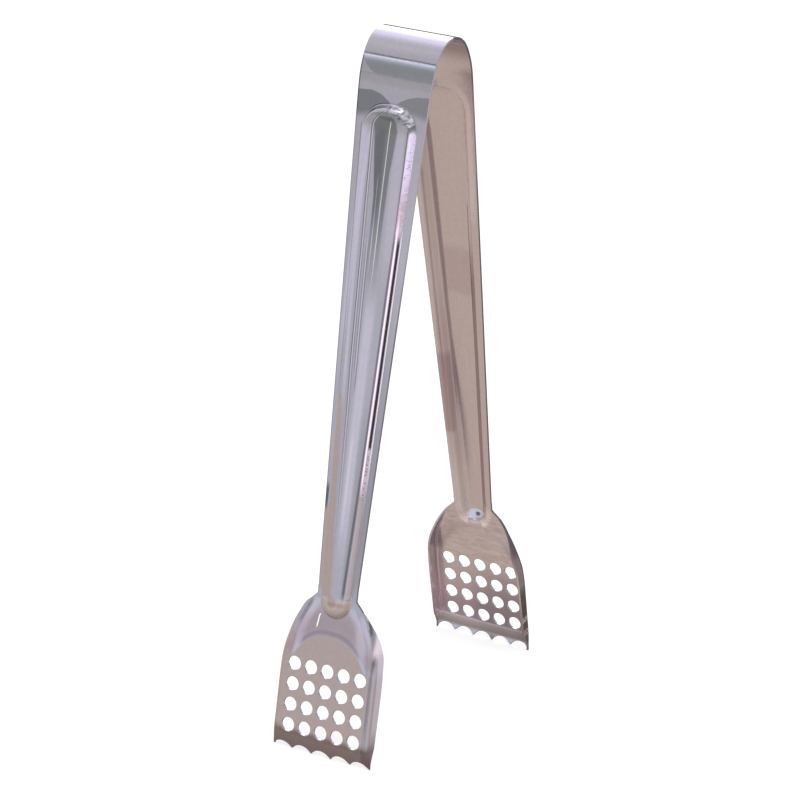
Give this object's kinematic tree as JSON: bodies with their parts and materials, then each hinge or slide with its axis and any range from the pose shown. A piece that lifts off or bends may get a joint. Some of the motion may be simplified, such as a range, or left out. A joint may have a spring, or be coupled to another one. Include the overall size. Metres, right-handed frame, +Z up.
{
  "type": "ice tongs",
  "caption": "Spring tongs pressed from one tapered steel strip, with ribbed arms and perforated, serrated scoop jaws for lifting ice.",
  "frame": {"origin": "centre of the bounding box's bottom face, midway between the two rows of tooth tips", "axes": "+Z up from the jaws to the spring bow, X along the closing direction of the jaws, Y across the width of the strip"},
  "size_m": [0.0836, 0.0282, 0.178],
  "materials": {
    "stainless": "semi-polished stainless steel with a faint lengthwise grain"
  },
  "bodies": {
    "bow": {"spring_bow": "stainless"},
    "left_side": {"left_arm": "stainless", "left_jaw": "stainless"},
    "right_side": {"right_arm": "stainless", "right_jaw": "stainless"}
  },
  "joints": [
    {"name": "left_flex", "type": "hinge", "parent": "bow", "child": "left_side", "pos_m": [-0.01014, 0, 0.1654], "axis": [0, -1, 0], "range_deg": [0, 13.1], "stiffness_Nm_per_rad": 0.8},
    {"name": "right_flex", "type": "hinge", "parent": "bow", "child": "right_side", "pos_m": [0.01014, 0, 0.1654], "axis": [0, 1, 0], "range_deg": [0, 13.1], "stiffness_Nm_per_rad": 0.8}
  ],
  "couplings": [
    {"joint": "right_flex", "follows": "left_flex", "ratio": 1}
  ]
}
